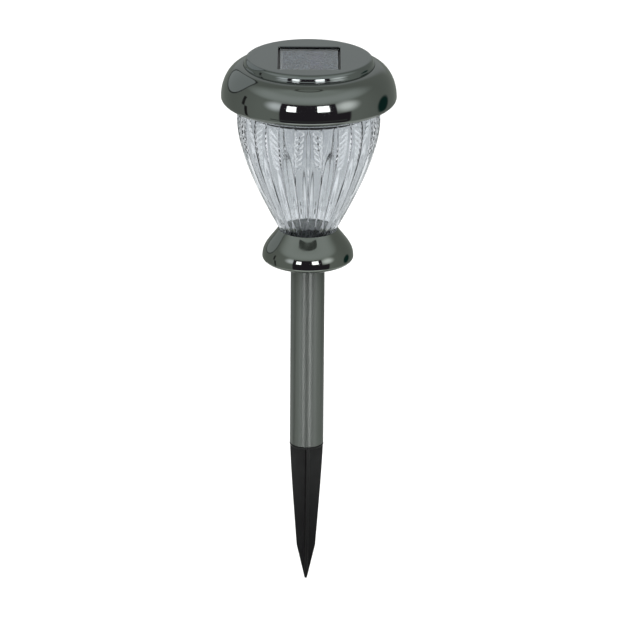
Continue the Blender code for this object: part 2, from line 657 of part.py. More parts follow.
# ---------------------------------------------------------------- the light

def finishes():
    return {
        "plated": material("plated_gunmetal", (0.16, 0.17, 0.17), 0.12, 1.0),
        "post": material("satin_metal", (0.28, 0.29, 0.28), 0.28, 1.0),
        "clear": material("clear_plastic", (0.93, 0.95, 0.95), 0.05, 0.0, 1.0),
        "black": material("black_plastic", (0.03, 0.03, 0.03), 0.45),
        "cell": material("solar_cell", (0.05, 0.06, 0.10), 0.25),
        "board": material("circuit_board", (0.05, 0.18, 0.10), 0.40),
        "rubber": material("rubber", (0.05, 0.05, 0.05), 0.70),
        "steel": material("zinc_steel", (0.60, 0.60, 0.58), 0.30, 1.0),
        "chrome": material("bright_metal", (0.80, 0.80, 0.82), 0.08, 1.0),
        "copper": material("copper_winding", (0.55, 0.27, 0.14), 0.35, 0.8),
        "wrap": material("battery_wrap", (0.10, 0.34, 0.20), 0.35),
        "red": material("red_insulation", (0.60, 0.03, 0.03), 0.45),
    }


def build():
    for thing in list(bpy.data.objects):
        bpy.data.objects.remove(thing, do_unlink=True)
    use = finishes()
    ground = group("ground_group")
    post_group = group("post_group", parent=ground)
    head = group("head_group", parent=post_group)
    seal = group("seal_group", parent=head)
    cap = group("cap_group", parent=seal)
    hinge = group("door_group", DOOR_HINGE, cap)
    knob_place = (SWITCH[0] - SWITCH_TRAVEL / 2.0, SWITCH[1], COVER_PLATE_Z[0] + 0.0018)
    knob = group("slider_group", knob_place, cap)
    stake(use["black"], ground)
    post(use["post"], post_group)
    adaptor(use["black"], head)
    collar(use["plated"], head)
    lens(use["clear"], head)
    head_fasteners(use["steel"], use["rubber"], head)
    gasket(use["rubber"], seal)
    cap_ring(use["plated"], cap)
    top_plate(use["plated"], cap)
    panel(use, cap)
    housing(use["black"], cap)
    module_cover(use, cap)
    circuit(use, cap)
    switch(use, cap, knob)
    battery(use, cap)
    battery_door(use, hinge)
    wires(use, cap)


build()
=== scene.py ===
"""Solar garden light in a white studio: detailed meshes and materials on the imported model.

Metres, +Z up. Soil level is z = 0 and the front is towards -Y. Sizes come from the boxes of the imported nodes;
the smaller ones below are offsets from those.
"""

import math

import bmesh
import bpy
import numpy as np
from mathutils import Matrix, Vector


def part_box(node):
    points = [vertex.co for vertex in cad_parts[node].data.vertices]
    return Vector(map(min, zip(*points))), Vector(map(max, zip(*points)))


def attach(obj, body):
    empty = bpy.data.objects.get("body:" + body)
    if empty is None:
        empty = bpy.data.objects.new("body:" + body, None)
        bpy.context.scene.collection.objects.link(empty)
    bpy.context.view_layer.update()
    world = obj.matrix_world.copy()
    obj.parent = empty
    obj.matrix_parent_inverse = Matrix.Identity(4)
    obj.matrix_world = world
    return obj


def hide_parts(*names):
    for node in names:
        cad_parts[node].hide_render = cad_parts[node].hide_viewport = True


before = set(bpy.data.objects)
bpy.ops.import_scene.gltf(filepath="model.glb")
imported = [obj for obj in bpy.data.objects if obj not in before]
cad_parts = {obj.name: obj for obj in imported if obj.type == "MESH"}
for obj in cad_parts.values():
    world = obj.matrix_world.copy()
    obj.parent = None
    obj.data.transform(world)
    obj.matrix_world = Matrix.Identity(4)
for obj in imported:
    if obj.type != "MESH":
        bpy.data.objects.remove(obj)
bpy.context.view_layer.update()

# Camera
CAMERA_PLACE = (0.0, -2.8035, 1.1743)
CAMERA_AIM = (0.0, 0.0, 0.10654)
CAMERA_SIDE = 0.0019  # the axis stands a little left of the frame's middle
CAMERA_ROLL = math.radians(0.4)
CAMERA_LENS = 236.48

# Cap ring: crown and underside are two ellipses that meet at the widest line
RING_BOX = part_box("cap_ring")
RING_RADIUS = RING_BOX[1].x
CROWN_WIDTH = 0.01684
CROWN_RISE = 0.02401
UNDER_WIDTH = 0.04202
SHELL = 0.0015
RING_LEDGE_RADIUS = 0.0420
RING_SEAT_RADIUS = 0.04745  # wall of the step that the plate drops into
RING_LEDGE_DROP = 0.0060  # from the step's top edge to the ledge that carries the plate
LIP_RADIUS = 0.0529

# Top plate and panel
PLATE_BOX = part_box("top_plate")
PLATE_RADIUS = PLATE_BOX[1].x
PLATE_TOP = PLATE_BOX[1].z
PLATE_FOOT = PLATE_BOX[0].z
PLATE_EDGE = (0.0039, 0.0049)  # width and height of the rounded edge
WINDOW = (0.0450, 0.0546)
WINDOW_CORNER = 0.0009
TRAY_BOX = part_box("panel_frame")
BACKING_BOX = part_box("panel_backing")
COVER_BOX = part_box("panel_cover")
TRAY_FLOOR = 0.0012
TRAY_GAP = 0.0008  # between the cover and the tray's pocket, both sides together
WIRE_HOLE_RADIUS = 0.0014
WIRE_HOLE_X = 0.0060
PANEL_MIDDLE = (COVER_BOX[0] + COVER_BOX[1]) / 2.0

# Lens
LENS_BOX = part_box("lens")
LENS_RIM_RADIUS = LENS_BOX[1].x
LENS_TOP = LENS_BOX[1].z
LENS_BOTTOM = LENS_BOX[0].z
LENS_SHOULDER_DROP = 0.0100
LENS_HEIGHT_TO_FOOT = 0.0940  # from the shoulder to the collar's lip
LENS_FOOT_RADIUS = 0.0204
LENS_INSIDE_RADIUS = 0.0482  # from the shoulder up
LENS_LEDGE_RADIUS = 0.0453
MOTIFS = 10  # of the cut pattern, around the lens
MOTIF = 2.0 * math.pi / MOTIFS
FLUTE_DEPTH = 0.00038
RIB_HEIGHT = 0.00016
LEAF_DEPTH = (0.00010, 0.00080)
DART_DEPTH = 0.0010
FACET_DEPTH = 0.0009

# Collar, post and stake
COLLAR_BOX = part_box("collar")
COLLAR_RADIUS = COLLAR_BOX[1].x
COLLAR_FOOT_RADIUS = 0.0265  # middle of the rolled foot
COLLAR_FOOT_HALF = 0.0039
COLLAR_FLOOR = (0.0149, 0.0129)  # its underside and top, below the lip
SCREW_HOLE = 0.0024  # through the collar, the washer and the lens
POST_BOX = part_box("post_tube")
POST_RADIUS = POST_BOX[1].x
POST_WALL = 0.0010
STAKE_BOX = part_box("stake")
FIN_TURN = math.radians(6.0)
FIN_TOP_HALF = 0.0123
FIN_SHOULDER_HALF = 0.00695
FIN_SHOULDER_Z = -0.0825
FIN_TIP_HALF = 0.0008
FIN_THICKNESS = 0.0022
RIB_HALF = 0.01115
STAKE_FLANGE = 0.0126

# Module
HOUSING_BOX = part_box("module_housing")
HOUSING_WALL = (0.0429, 0.0445)  # inside and outside radius
HOUSING_TOP_FLANGE = 0.0465
SCREW_CIRCLE = 0.0396
SCREW_ANGLES = [math.radians(a) for a in (90.0, 210.0, 330.0)]  # of the lugs too
LUG_REACH = 0.0029
NOTCH_DEPTH = 0.0026
LED_RADIUS = 0.0025
LED_FLANGE = 0.0029

# Screws: head radius, head height and shank radius
COVER_SCREW = (0.0026, 0.0014, 0.0010)
DOOR_SCREW = (0.0023, 0.0012, 0.0008)
BOARD_SCREW = (0.0021, 0.0012, 0.0008)
LENS_SCREW = (0.0038, 0.0024, 0.0020)

# Studio
TENT_MIDDLE = 0.27  # about the height of the cap's widest line
CLOTH_GREY = (0.255, 0.275, 0.250)
CLOTH_PALE = (0.320, 0.345, 0.315)
OPENING_BLACK = (0.045, 0.038, 0.047)
SEAM_BLACK = (0.030, 0.030, 0.030)
LAMP_WHITE = (5.5, 5.5, 5.5)
CARD_WHITE = (1.15, 1.16, 1.19)


# ---- mesh helpers

def bezier(control, steps):
    """Points of a Bezier curve in the (radius, height) plane."""
    points = []
    for i in range(steps + 1):
        level = [Vector(p) for p in control]
        while len(level) > 1:
            level = [a.lerp(b, i / steps) for a, b in zip(level, level[1:])]
        points.append(tuple(level[0]))
    return points


def arc(centre, half, start, end, steps):
    """Points of an ellipse arc in the (radius, height) plane, angles in degrees."""
    turns = [math.radians(start + (end - start) * i / steps) for i in range(steps + 1)]
    return [(centre[0] + half[0] * math.cos(t), centre[1] + half[1] * math.sin(t)) for t in turns]


def filleted(outline, radius, steps=3):
    """A closed outline with its corners rounded; gentle bends and points on the axis stay as they are."""
    least = math.radians(22.0)
    made = []
    count = len(outline)
    for i, point in enumerate(outline):
        corner = Vector(point)
        back = Vector(outline[i - 1]) - corner
        ahead = Vector(outline[(i + 1) % count]) - corner
        turn = math.pi - back.angle(ahead)
        if corner.x < 1e-7 or turn < least:
            made.append(tuple(corner))
            continue
        reach = min(radius * math.tan(turn / 2.0), 0.45 * back.length, 0.45 * ahead.length)
        start = corner + back.normalized() * reach
        end = corner + ahead.normalized() * reach
        for k in range(steps + 1):
            t = k / steps
            made.append(tuple(start.lerp(corner, t).lerp(corner.lerp(end, t), t)))
    return made


def linked(name, data):
    """A new object in the scene."""
    made = bpy.data.objects.new(name, data)
    bpy.context.scene.collection.objects.link(made)
    return made


def mesh_object(name, points, faces):
    """An object from arrays, with doubled points merged and its faces turned outwards."""
    mesh = bpy.data.meshes.new(name)
    points = np.asarray(points).reshape(-1, 3).tolist()
    mesh.from_pydata(points, [], [list(map(int, face)) for face in faces])
    bm = bmesh.new()
    bm.from_mesh(mesh)
    bmesh.ops.remove_doubles(bm, verts=bm.verts, dist=1e-7)
    bmesh.ops.recalc_face_normals(bm, faces=bm.faces)
    bm.to_mesh(mesh)
    bm.free()
    return linked(name, mesh)


def smooth(made, angle=32.0):
    made.data.shade_smooth()
    made.data.set_sharp_from_angle(angle=math.radians(angle))
    return made


def ring_faces(rows, columns):
    """Quads of a grid of points that closes on itself both ways."""
    index = np.arange(rows * columns).reshape(rows, columns)
    below = np.roll(index, -1, axis=0)
    corners = (index, np.roll(index, -1, axis=1), np.roll(below, -1, axis=1), below)
    return np.stack(corners, axis=-1).reshape(-1, 4)


def turned(name, outline, steps=96, shape=None):
    """A closed (radius, height) outline turned about Z; shape may change the radius and height grids."""
    outline = np.array(outline, float)
    turns = np.linspace(0.0, 2.0 * math.pi, steps, endpoint=False)
    radius = np.repeat(outline[:, :1], len(turns), axis=1)
    height = np.repeat(outline[:, 1:], len(turns), axis=1)
    if shape:
        radius, height = shape(radius, height, turns)
    points = np.stack((radius * np.cos(turns), radius * np.sin(turns), height), axis=-1)
    return smooth(mesh_object(name, points, ring_faces(*radius.shape)))


def block(bm, low, high):
    low, high = Vector(low), Vector(high)
    size = Matrix.Diagonal((*(high - low), 1.0))
    bmesh.ops.create_cube(bm, size=1.0, matrix=Matrix.Translation((low + high) / 2.0) @ size)


def rod(bm, radius, low, high, place):
    middle = Matrix.Translation((*place, (low + high) / 2.0))
    bmesh.ops.create_cone(bm, cap_ends=True, segments=32, radius1=radius, radius2=radius,
                          depth=high - low, matrix=middle)


def bm_object(name, bm):
    bmesh.ops.recalc_face_normals(bm, faces=bm.faces)
    mesh = bpy.data.meshes.new(name)
    bm.to_mesh(mesh)
    bm.free()
    return linked(name, mesh)


def bake_modifiers(made):
    """The object's modifiers become its mesh."""
    graph = bpy.context.evaluated_depsgraph_get()
    mesh = bpy.data.meshes.new_from_object(made.evaluated_get(graph))
    made.modifiers.clear()
    made.data = mesh
    return made


def combined(made, bm, operation):
    """Cuts or joins a shape, and leaves the result in the object's mesh."""
    tool = bm_object(f"tool_{made.name}", bm)
    change = made.modifiers.new("combine", "BOOLEAN")
    change.operation = operation
    change.solver = "EXACT"
    change.object = tool
    bake_modifiers(made)
    bpy.data.objects.remove(tool, do_unlink=True)
    return made


def bevelled(made, width):
    """Softened edges; the low smoothing angle keeps the flat faces flat."""
    change = made.modifiers.new("bevel", "BEVEL")
    change.width = width
    change.segments = 2
    change.limit_method = "ANGLE"
    change.angle_limit = math.radians(40.0)
    return smooth(bake_modifiers(made), 20.0)


def rounded_outline(size, corner, centre=(0.0, 0.0), steps=6):
    """Points of a rectangle with rounded corners, anticlockwise."""
    outline = []
    half_x, half_y = size[0] / 2.0 - corner, size[1] / 2.0 - corner
    for quarter, (side_x, side_y) in enumerate(((1, 1), (-1, 1), (-1, -1), (1, -1))):
        middle = (centre[0] + side_x * half_x, centre[1] + side_y * half_y)
        outline += arc(middle, (corner, corner), 90.0 * quarter, 90.0 * (quarter + 1), steps)
    return outline


def middle_of(box):
    """The middle of a node's box, seen from above."""
    low, high = box
    return ((low.x + high.x) / 2.0, (low.y + high.y) / 2.0)


def from_nearest(turns, first, count):
    """Angle from the nearest of some evenly spaced places."""
    spacing = 2.0 * math.pi / count
    return (turns - first + spacing / 2.0) % spacing - spacing / 2.0


def prism(outline, low, high):
    """A solid of one outline between two heights."""
    bm = bmesh.new()
    face = bm.faces.new([bm.verts.new((x, y, low)) for x, y in outline])
    raised = bmesh.ops.extrude_face_region(bm, geom=[face])["geom"]
    verts = [v for v in raised if isinstance(v, bmesh.types.BMVert)]
    bmesh.ops.translate(bm, verts=verts, vec=(0.0, 0.0, high - low))
    return bm


def fitted(made, finish, body, node):
    """Gives the piece its material, parents it to the body it rides on and hides the CAD node it stands in for.
    """
    made.data.materials.clear()
    made.data.materials.append(finish)
    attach(made, body)
    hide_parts(node)


# ---- material helpers

def shades(colour, low, high):
    """One colour at two strengths."""
    return [tuple(c * strength for c in colour) for strength in (low, high)]


class Graph:
    """A material's node tree, with short ways to add and join nodes."""

    def __init__(self, name):
        self.material = bpy.data.materials.new(name)
        self.material.use_nodes = True
        self.tree = self.material.node_tree

    def add(self, kind, **settings):
        made = self.tree.nodes.new(kind)
        for name, value in settings.items():
            setattr(made, name, value)
        return made

    def link(self, source, target):
        self.tree.links.new(source, target)


class Finish(Graph):
    """A Principled material built up from texture nodes in the piece's own coordinates."""

    def __init__(self, name, **values):
        super().__init__(name)
        self.shader = self.tree.nodes["Principled BSDF"]
        for socket, value in values.items():
            self.shader.inputs[socket.replace("_", " ")].default_value = value

    def coordinates(self, stretch=(1.0, 1.0, 1.0)):
        source = self.add("ShaderNodeTexCoord")
        mapping = self.add("ShaderNodeMapping")
        mapping.inputs["Scale"].default_value = stretch
        self.link(source.outputs["Object"], mapping.inputs["Vector"])
        return mapping.outputs["Vector"]

    def noise(self, scale, detail=3.0, stretch=(1.0, 1.0, 1.0), distortion=0.0):
        made = self.add("ShaderNodeTexNoise")
        made.inputs["Scale"].default_value = scale
        made.inputs["Detail"].default_value = detail
        made.inputs["Distortion"].default_value = distortion
        self.link(self.coordinates(stretch), made.inputs["Vector"])
        return made.outputs["Fac"]

    def wave(self, scale, direction):
        made = self.add("ShaderNodeTexWave", bands_direction=direction, wave_profile="SIN")
        made.inputs["Scale"].default_value = scale
        self.link(self.coordinates(), made.inputs["Vector"])
        return made.outputs["Fac"]

    def cells(self, scale, feature="F1"):
        made = self.add("ShaderNodeTexVoronoi", feature=feature)
        made.inputs["Scale"].default_value = scale
        self.link(self.coordinates(), made.inputs["Vector"])
        return made.outputs["Distance"]

    def ranged(self, source, low, high, to_low, to_high):
        made = self.add("ShaderNodeMapRange", interpolation_type="SMOOTHSTEP")
        limits = {"From Min": low, "From Max": high, "To Min": to_low, "To Max": to_high}
        for socket, value in limits.items():
            made.inputs[socket].default_value = value
        self.link(source, made.inputs["Value"])
        return made.outputs["Result"]

    def mixed(self, factor, first, second):
        """A colour between two; each is a colour or another node's socket."""
        made = self.add("ShaderNodeMix", data_type="RGBA")
        self.link(factor, made.inputs["Factor"])
        for socket, value in ((made.inputs[6], first), (made.inputs[7], second)):
            if isinstance(value, tuple):
                socket.default_value = (*value, 1.0)
            else:
                self.link(value, socket)
        return made.outputs[2]

    def to(self, socket, source):
        self.link(source, self.shader.inputs[socket])

    def coloured(self, factor, first, second):
        self.to("Base Color", self.mixed(factor, first, second))

    def rough(self, source, low, high):
        """Roughness between two values, from a noise that mostly lies between 0.3 and 0.7."""
        self.to("Roughness", self.ranged(source, 0.3, 0.7, low, high))

    def bump(self, height, strength, distance):
        made = self.add("ShaderNodeBump")
        made.inputs["Strength"].default_value = strength
        made.inputs["Distance"].default_value = distance
        self.link(height, made.inputs["Height"])
        already = self.shader.inputs["Normal"].links
        if already:
            self.link(already[0].from_socket, made.inputs["Normal"])
        self.link(made.outputs["Normal"], self.shader.inputs["Normal"])


def plated_finish(name, colour, low=0.035, high=0.085):
    """Dark chrome plating: near-mirror, with faint orange peel and wiped-on haze."""
    made = Finish(name, Metallic=1.0)
    cloud = made.noise(38.0, 4.0)
    made.coloured(cloud, *shades(colour, 0.95, 1.05))
    wiped = made.noise(90.0, 5.0, (1.0, 1.0, 0.25), 0.6)
    made.to("Roughness", made.ranged(wiped, 0.35, 0.75, low, high))
    made.bump(made.noise(420.0, 1.0), 0.05, 0.00005)
    return made.material


def post_finish():
    """Plated tube whose fine lines, left by drawing it, smear reflections along it."""
    made = Finish("post_satin_plating", Metallic=1.0, Anisotropic=1.0, Anisotropic_Rotation=0.25)
    drawn = made.noise(900.0, 3.0, (1.0, 1.0, 0.012))
    made.coloured(drawn, (0.345, 0.362, 0.350), (0.375, 0.392, 0.380))
    made.rough(made.noise(60.0, 4.0, (1.0, 1.0, 0.2)), 0.47, 0.49)
    around = made.add("ShaderNodeTangent", direction_type="RADIAL", axis="Z")
    made.to("Tangent", around.outputs["Tangent"])
    made.bump(drawn, 0.01, 0.00001)
    return made.material


def moulded_plastic(name, colour, roughness, grain=1500.0, depth=0.00004, shine=0.5):
    """Moulded plastic: fine spark-eroded grain, slow colour drift and slightly polished high spots."""
    made = Finish(name, Specular_IOR_Level=shine)
    drift = made.noise(45.0, 4.0)
    made.coloured(drift, *shades(colour, 0.82, 1.18))
    made.rough(made.noise(110.0, 4.0), roughness - 0.06, roughness + 0.08)
    made.bump(made.noise(grain, 3.0), 0.35, depth)
    return made.material


def clear_finish(name, colour, low, high, ior, streak=(1.0, 1.0, 0.08), ripple=0.12):
    """Clear moulded plastic with flow lines that barely haze it."""
    made = Finish(name, IOR=ior, Transmission_Weight=1.0)
    flow = made.noise(160.0, 3.0, streak, 0.3)
    made.coloured(flow, *shades(colour, 0.985, 1.0))
    made.rough(flow, low, high)
    made.bump(flow, ripple, 0.00004)
    return made.material


def cell_finish(name, colour, line):
    """Solar cell strip: dark coated silicon with printed fingers across it and a faint grain."""
    made = Finish(name, Specular_IOR_Level=0.1)
    grain = made.cells(520.0)
    body = made.mixed(grain, *shades(colour, 0.96, 1.05))
    finger = made.ranged(made.wave(125.0, "Y"), 0.90, 0.985, 0.0, 1.0)
    made.coloured(finger, body, line)
    made.rough(made.noise(240.0, 2.0), 0.20, 0.32)
    made.bump(finger, 0.1, 0.00001)
    return made.material


def board_finish():
    """Solder mask over traces."""
    made = Finish("board_solder_mask", Coat_Weight=0.35, Coat_Roughness=0.15)
    trace = made.ranged(made.cells(190.0, "DISTANCE_TO_EDGE"), 0.05, 0.11, 1.0, 0.0)
    made.coloured(trace, (0.010, 0.085, 0.035), (0.030, 0.170, 0.075))
    made.rough(made.noise(300.0), 0.32, 0.46)
    made.bump(trace, 0.4, 0.00004)
    return made.material


def backing_finish():
    """Dark laminate under the cells."""
    made = Finish("panel_laminate", Coat_Weight=0.3, Coat_Roughness=0.12)
    weave = made.noise(700.0, 2.0, (1.0, 0.3, 1.0))
    made.coloured(weave, (0.050, 0.058, 0.062), (0.075, 0.083, 0.088))
    made.rough(weave, 0.34, 0.50)
    made.bump(weave, 0.2, 0.00003)
    return made.material


def rubber_finish():
    made = Finish("black_rubber", Specular_IOR_Level=0.3)
    dust = made.noise(130.0, 5.0)
    made.coloured(dust, (0.018, 0.018, 0.018), (0.034, 0.033, 0.032))
    made.rough(dust, 0.58, 0.76)
    made.bump(made.noise(2200.0, 2.0), 0.4, 0.00003)
    return made.material


def steel_finish():
    """Zinc plating with its mottled passivation."""
    made = Finish("zinc_plated_steel", Metallic=1.0)
    colour = (0.52, 0.53, 0.52)
    mottle = made.cells(1300.0)
    made.coloured(mottle, *shades(colour, 0.8, 1.12))
    made.rough(made.noise(500.0, 4.0), 0.22, 0.40)
    made.bump(mottle, 0.15, 0.00002)
    return made.material


def copper_finish():
    made = Finish("enamelled_copper", Metallic=0.9, Coat_Weight=0.5, Coat_Roughness=0.10)
    turns = made.wave(520.0, "Z")
    made.coloured(turns, (0.26, 0.09, 0.035), (0.62, 0.27, 0.12))
    made.rough(made.noise(700.0), 0.25, 0.40)
    made.bump(turns, 0.6, 0.00010)
    return made.material


def wrap_finish():
    """Battery sleeve: coloured film with a pale band near its plus end."""
    made = Finish("battery_sleeve", Coat_Weight=0.4, Coat_Roughness=0.08)
    position = made.add("ShaderNodeSeparateXYZ")
    made.link(made.coordinates(), position.inputs["Vector"])
    band = made.ranged(position.outputs["X"], 0.0115, 0.0117, 0.0, 1.0)
    print_noise = made.noise(420.0, 2.0)
    body = made.mixed(print_noise, (0.030, 0.165, 0.085), (0.045, 0.205, 0.110))
    made.coloured(band, body, (0.62, 0.64, 0.60))
    made.rough(made.noise(200.0, 3.0), 0.26, 0.40)
    made.bump(made.noise(260.0, 2.0, (0.2, 1.0, 1.0)), 0.15, 0.00005)
    return made.material


def insulation_finish(name, colour):
    made = Finish(name)
    along = made.noise(350.0, 3.0)
    made.coloured(along, *shades(colour, 0.8, 1.15))
    made.rough(along, 0.36, 0.52)
    made.bump(made.noise(1400.0, 2.0), 0.2, 0.00003)
    return made.material


def make_finishes():
    even = (1.0, 1.0, 1.0)  # flow lines with no direction
    return {
        "ring": plated_finish("cap_dark_chrome", (0.268, 0.284, 0.276)),
        "plate": plated_finish("plate_dark_chrome", (0.262, 0.282, 0.282), 0.05, 0.11),
        "collar": plated_finish("collar_dark_chrome", (0.262, 0.278, 0.262), 0.04, 0.10),
        "post": post_finish(),
        "lens": clear_finish("lens_clear_plastic", (0.83, 0.85, 0.86), 0.02, 0.07, 1.49),
        "clear": clear_finish("panel_clear_cover", (0.93, 0.95, 0.96), 0.02, 0.04, 1.30, even, 0.0),
        "led": clear_finish("led_epoxy", (0.94, 0.94, 0.90), 0.02, 0.05, 1.53, even),
        "black": moulded_plastic("module_black_plastic", (0.022, 0.022, 0.023), 0.40),
        "stake": moulded_plastic("stake_black_plastic", (0.007, 0.007, 0.0075), 0.38, 900.0, 0.00005, 0.35),
        "cell": cell_finish("solar_cell_blue", (0.020, 0.033, 0.047), (0.060, 0.071, 0.080)),
        "cell_violet": cell_finish("solar_cell_violet", (0.024, 0.026, 0.050), (0.062, 0.066, 0.082)),
        "backing": backing_finish(),
        "board": board_finish(),
        "rubber": rubber_finish(),
        "steel": steel_finish(),
        "mirror": plated_finish("reflector_bright", (0.80, 0.80, 0.82)),
        # painted light: a pale finish for the collar's cup, to brighten what shows through the lens's foot
        "pale_inside": moulded_plastic("collar_inside_plastic", (0.60, 0.61, 0.61), 0.40),
        "copper": copper_finish(),
        "wrap": wrap_finish(),
        "red": insulation_finish("red_insulation", (0.50, 0.022, 0.020)),
        "dark_wire": insulation_finish("black_insulation", (0.024, 0.024, 0.025)),
    }


# ---- cap

def ring_outline():
    """Section of the ring, from the ledge out over the crown and round to its underside lip."""
    top = RING_BOX[1].z
    crown_radius = RING_RADIUS - CROWN_WIDTH
    seat_turn = math.acos((RING_SEAT_RADIUS - crown_radius) / CROWN_WIDTH)
    widest_z = top - CROWN_RISE * math.sin(seat_turn)
    crown = (crown_radius, widest_z)
    under = (RING_RADIUS - UNDER_WIDTH, widest_z)
    ledge = top - RING_LEDGE_DROP
    drop = under_drop(widest_z)
    lip_turn = -math.degrees(math.acos((LIP_RADIUS - under[0]) / UNDER_WIDTH))
    thin_turn = -math.degrees(math.acos((LIP_RADIUS - under[0]) / (UNDER_WIDTH - SHELL)))
    outline = [(RING_LEDGE_RADIUS, ledge), (RING_SEAT_RADIUS, ledge)]
    outline += arc(crown, (CROWN_WIDTH, CROWN_RISE), math.degrees(seat_turn), 0.0, 40)
    outline += arc(under, (UNDER_WIDTH, drop), 0.0, lip_turn, 18)[1:]
    outline += arc(under, (UNDER_WIDTH - SHELL, drop - SHELL), thin_turn, 0.0, 10)
    outline += arc(crown, (CROWN_WIDTH - SHELL, CROWN_RISE - SHELL), 0.0, 80.0, 16)[1:]
    outline += [(outline[-1][0], ledge - SHELL), (RING_LEDGE_RADIUS, ledge - SHELL)]
    return outline


def under_drop(widest_z):
    """Half height of the underside's ellipse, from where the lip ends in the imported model."""
    reach = (LIP_RADIUS - (RING_RADIUS - UNDER_WIDTH)) / UNDER_WIDTH
    return (widest_z - RING_BOX[0].z) / math.sqrt(1.0 - reach * reach)


def cap_ring(finish):
    made = turned("cap_ring_shell", filleted(ring_outline(), 0.0002), 240)
    fitted(made, finish, "cap", "cap_ring")


def dense_window():
    """The window's outline with points along its straight sides too."""
    corners = rounded_outline(WINDOW, WINDOW_CORNER, PANEL_MIDDLE[:2])
    dense = []
    for a, b in zip(corners, corners[1:] + corners[:1]):
        pieces = max(1, round(math.dist(a, b) / 0.0006))
        dense += [tuple(Vector(a).lerp(Vector(b), i / pieces)) for i in range(pieces)]
    return dense


def top_plate(finish):
    """Raised disc with a rounded edge, whose section runs in to a rectangular window."""
    window = np.array(dense_window())
    turns = np.arctan2(window[:, 1], window[:, 0])
    to_window = np.hypot(window[:, 0], window[:, 1])
    flat = PLATE_RADIUS - PLATE_EDGE[0]
    centre = (flat, PLATE_TOP - PLATE_EDGE[1])
    thin_edge = (PLATE_EDGE[0] - SHELL, PLATE_EDGE[1] - SHELL)
    under = PLATE_TOP - SHELL
    hole = [(0.00035, 0.0), (0.00010, -0.00010), (0.0, -0.00035), (0.0, -SHELL + 0.0002), (0.0002, -SHELL)]
    # A row is a distance from the axis, a share of the distance out to the window, and a height.
    rows = [(PLATE_RADIUS - SHELL, 0.0, PLATE_FOOT), (PLATE_RADIUS, 0.0, PLATE_FOOT)]
    rows += [(PLATE_RADIUS, 0.0, centre[1]), (PLATE_RADIUS - 0.0001, 0.0, centre[1] + 0.0003)]
    rows += [(r, 0.0, z) for r, z in arc(centre, (PLATE_EDGE[0] - 0.0004, PLATE_EDGE[1]), 9.0, 90.0, 14)]
    rows += [(flat * share, 1.0 - share, PLATE_TOP) for share in (0.85, 0.6, 0.35, 0.15)]
    rows += [(out, 1.0, PLATE_TOP + drop) for out, drop in hole]
    rows += [(flat * share, 1.0 - share, under) for share in (0.4, 0.8)]
    rows += [(r, 0.0, z) for r, z in arc(centre, thin_edge, 90.0, 0.0, 8)]
    offset, share, height = np.array(rows).T[:, :, None]
    radius = offset + share * to_window
    height = height * np.ones_like(turns)
    points = np.stack((radius * np.cos(turns), radius * np.sin(turns), height), axis=-1)
    made = smooth(mesh_object("top_plate_shell", points, ring_faces(*radius.shape)))
    fitted(made, finish, "cap", "top_plate")


def slab(name, box, corner, edge):
    """A plate the size of a node's box with rounded corners and softened edges."""
    low, high = box
    size = (high.x - low.x, high.y - low.y)
    made = bm_object(name, prism(rounded_outline(size, corner, middle_of(box)), low.z, high.z))
    return bevelled(made, edge)


def panel(use):
    """Tray with two wire holes, laminate, four cell strips and the clear cover."""
    tray = slab("panel_tray", TRAY_BOX, 0.0030, 0.0003)
    low, high = COVER_BOX
    floor = TRAY_BOX[0].z
    opening = (high.x - low.x + TRAY_GAP, high.y - low.y + TRAY_GAP)
    pocket = rounded_outline(opening, 0.0008, PANEL_MIDDLE[:2])
    combined(tray, prism(pocket, floor + TRAY_FLOOR, TRAY_BOX[1].z + 0.0020), "DIFFERENCE")
    holes = bmesh.new()
    for side in (-1, 1):
        rod(holes, WIRE_HOLE_RADIUS, floor - 0.0010, floor + 0.0022, (side * WIRE_HOLE_X, 0.0))
    smooth(combined(tray, holes, "DIFFERENCE"))
    fitted(tray, use["black"], "cap", "panel_frame")
    laminate = slab("panel_laminate", BACKING_BOX, 0.0005, 0.00015)
    fitted(laminate, use["backing"], "cap", "panel_backing")
    for index in range(4):
        node = f"panel_cell_{index + 1}"
        finish = use["cell_violet" if index == 2 else "cell"]
        strip = slab(f"cell_strip_{index + 1}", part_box(node), 0.0003, 0.00005)
        fitted(strip, finish, "cap", node)
    cover = slab("panel_clear_slab", COVER_BOX, 0.0006, 0.00025)
    fitted(cover, use["clear"], "cap", "panel_cover")


# ---- lens

def smoothstep(low, high, value):
    t = np.clip((value - low) / (high - low), 0.0, 1.0)
    return t * t * (3.0 - 2.0 * t)


def cut_depth(down, height, turns):
    """How deep the outside is cut, by the share of the way down and the angle. One motif faces the front."""
    off = from_nearest(turns, -math.pi / 2.0, MOTIFS)[None, :]
    share = np.abs(off) / (MOTIF / 2.0)  # 0 on a motif's middle line, 1 between two motifs
    cuts = flutes(down, share) + leaves(down, height, share) + darts(down, share) + scallops(down, share)
    return cuts - ribs(down, off)


def flutes(down, share):
    """Three shallow flutes to a motif, from the leaves to the foot."""
    wave = 0.5 + 0.5 * np.cos(3.0 * math.pi * share)
    return FLUTE_DEPTH * wave * smoothstep(0.05, 0.50, down)


def ribs(down, off):
    """A slim raised rib on each motif's middle line."""
    swell = smoothstep(0.02, 0.10, down) * (1.0 - smoothstep(0.34, 0.62, down))
    return RIB_HEIGHT * np.exp(-(off / math.radians(0.9)) ** 2) * swell


def leaves(down, height, share):
    """Feathered cuts on both sides of the rib, in a band that tapers away downwards."""
    low = 0.17 + 0.45 * down
    inside = smoothstep(low - 0.02, low + 0.06, share) * (1.0 - smoothstep(0.58, 0.62, share))
    band = inside * smoothstep(0.015, 0.05, down) * (1.0 - smoothstep(0.27, 0.38, down))
    ramp = ((height + share * 0.0140) / 0.0042) % 1.0
    shallow, deep = LEAF_DEPTH
    return band * (shallow + (deep - shallow) * ramp)


